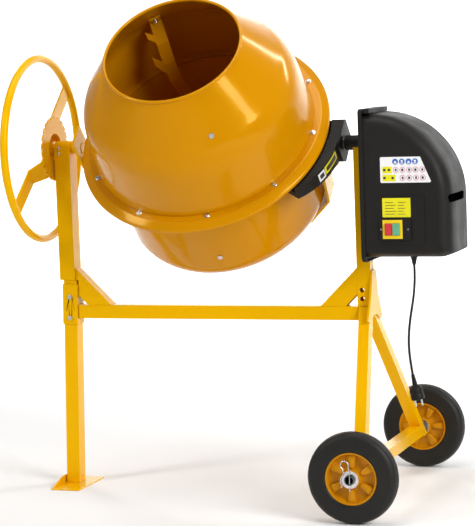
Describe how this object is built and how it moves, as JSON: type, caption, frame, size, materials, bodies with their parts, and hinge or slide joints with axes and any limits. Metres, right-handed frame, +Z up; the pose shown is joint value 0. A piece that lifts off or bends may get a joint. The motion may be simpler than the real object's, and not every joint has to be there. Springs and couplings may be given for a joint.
{
  "type": "concrete mixer",
  "caption": "tilting drum concrete mixer on a two-wheel tubular stand, with a handwheel, gear guard and boxed electric drive",
  "frame": {"origin": "ground level under the middle of the bounding box", "axes": "+Z up, +X along the tilt axis toward the motor box, the drum's mouth leans toward -Y"},
  "size_m": [1.2684, 0.866, 1.4203],
  "materials": {
    "frame_paint": "gloss powder coat, warm yellow",
    "zinc_steel": "bright zinc plate",
    "dark_steel": "oiled dark steel",
    "box_plastic": "fine-grained black moulding",
    "motor_alloy": "bare casting",
    "pale_plastic": "plain pale grey",
    "black_rubber": "matt black",
    "yellow_plastic": "plain yellow",
    "drum_paint": "gloss enamel, amber",
    "cast_gear": "oiled cast iron",
    "tyre_rubber": "matt black tread rubber",
    "green_plastic": "green",
    "red_plastic": "red"
  },
  "bodies": {
    "stand": {"left_upper_post": "frame_paint", "left_leg": "frame_paint", "foot_plate": "frame_paint", "crossbar": "frame_paint", "gussets": "frame_paint", "left_bracket": "frame_paint", "frame_bolts": "zinc_steel", "right_post": "frame_paint", "spreader_plate": "frame_paint", "front_wheel_leg": "frame_paint", "rear_wheel_leg": "frame_paint", "axle_beam": "frame_paint", "wheel_axle": "dark_steel", "wheel_washers": "zinc_steel", "axle_clips": "zinc_steel", "left_bearing": "frame_paint", "right_bearing": "box_plastic", "lock_tooth": "frame_paint", "motor_tray": "box_plastic", "motor_cover": "box_plastic", "housing_screws": "zinc_steel", "motor_body": "motor_alloy", "run_capacitor": "pale_plastic", "drive_belt": "black_rubber", "switch_box": "box_plastic", "switch_plate": "yellow_plastic", "cable_gland": "black_rubber", "power_cord": "black_rubber", "mains_plug": "box_plastic", "plug_pins": "zinc_steel"},
    "yoke": {"yoke_bar": "frame_paint", "left_trunnion": "zinc_steel", "right_trunnion": "zinc_steel", "drum_spindle": "zinc_steel", "yoke_nuts": "zinc_steel", "gear_guard": "box_plastic", "lock_spring": "zinc_steel"},
    "drum": {"lower_shell": "drum_paint", "upper_shell": "drum_paint", "flange_gasket": "black_rubber", "ring_gear": "cast_gear", "seam_bolts": "zinc_steel", "mixing_blades": "drum_paint", "blade_bolts": "zinc_steel", "drum_hub": "drum_paint", "hub_bearings": "zinc_steel"},
    "pinion": {"drive_pinion": "cast_gear", "pinion_shaft": "zinc_steel", "driven_pulley": "dark_steel"},
    "rotor": {"rotor_shaft": "zinc_steel", "motor_pulley": "dark_steel"},
    "handwheel": {"handwheel_ring": "frame_paint", "handwheel_spokes": "frame_paint", "index_disc": "frame_paint"},
    "front_wheel": {"front_tyre": "tyre_rubber", "front_rim": "drum_paint"},
    "rear_wheel": {"rear_tyre": "tyre_rubber", "rear_rim": "drum_paint"},
    "start": {"start_button": "green_plastic"},
    "stop": {"stop_button": "red_plastic"}
  },
  "joints": [
    {"name": "tilt", "type": "hinge", "parent": "stand", "child": "yoke", "pos_m": [-0.09675, 0, 1], "axis": [1, 0, 0], "range_deg": [-165, 75]},
    {"name": "drum_spin", "type": "hinge", "parent": "yoke", "child": "drum", "pos_m": [-0.09675, 0, 1], "axis": [0, -0.7071, 0.7071], "continuous": true},
    {"name": "pinion_spin", "type": "hinge", "parent": "yoke", "child": "pinion", "pos_m": [0.24625, 0, 1], "axis": [1, 0, 0], "continuous": true},
    {"name": "rotor_spin", "type": "hinge", "parent": "stand", "child": "rotor", "pos_m": [0.50325, 0, 0.788], "axis": [1, 0, 0], "continuous": true},
    {"name": "handwheel_lock", "type": "slide", "parent": "yoke", "child": "handwheel", "axis": [1, 0, 0], "range_m": [0, 0.006]},
    {"name": "front_wheel_spin", "type": "hinge", "parent": "stand", "child": "front_wheel", "pos_m": [0.41525, -0.392, 0.125], "axis": [0, 1, 0], "continuous": true},
    {"name": "rear_wheel_spin", "type": "hinge", "parent": "stand", "child": "rear_wheel", "pos_m": [0.41525, 0.392, 0.125], "axis": [0, 1, 0], "continuous": true},
    {"name": "start_press", "type": "slide", "parent": "stand", "child": "start", "axis": [0, 1, 0], "range_m": [0, 0.003], "stiffness_N_per_m": 400},
    {"name": "stop_press", "type": "slide", "parent": "stand", "child": "stop", "axis": [0, 1, 0], "range_m": [0, 0.003], "stiffness_N_per_m": 400}
  ],
  "couplings": [
    {"joint": "pinion_spin", "follows": "drum_spin", "ratio": -9.5},
    {"joint": "rotor_spin", "follows": "drum_spin", "ratio": -47.5}
  ]
}
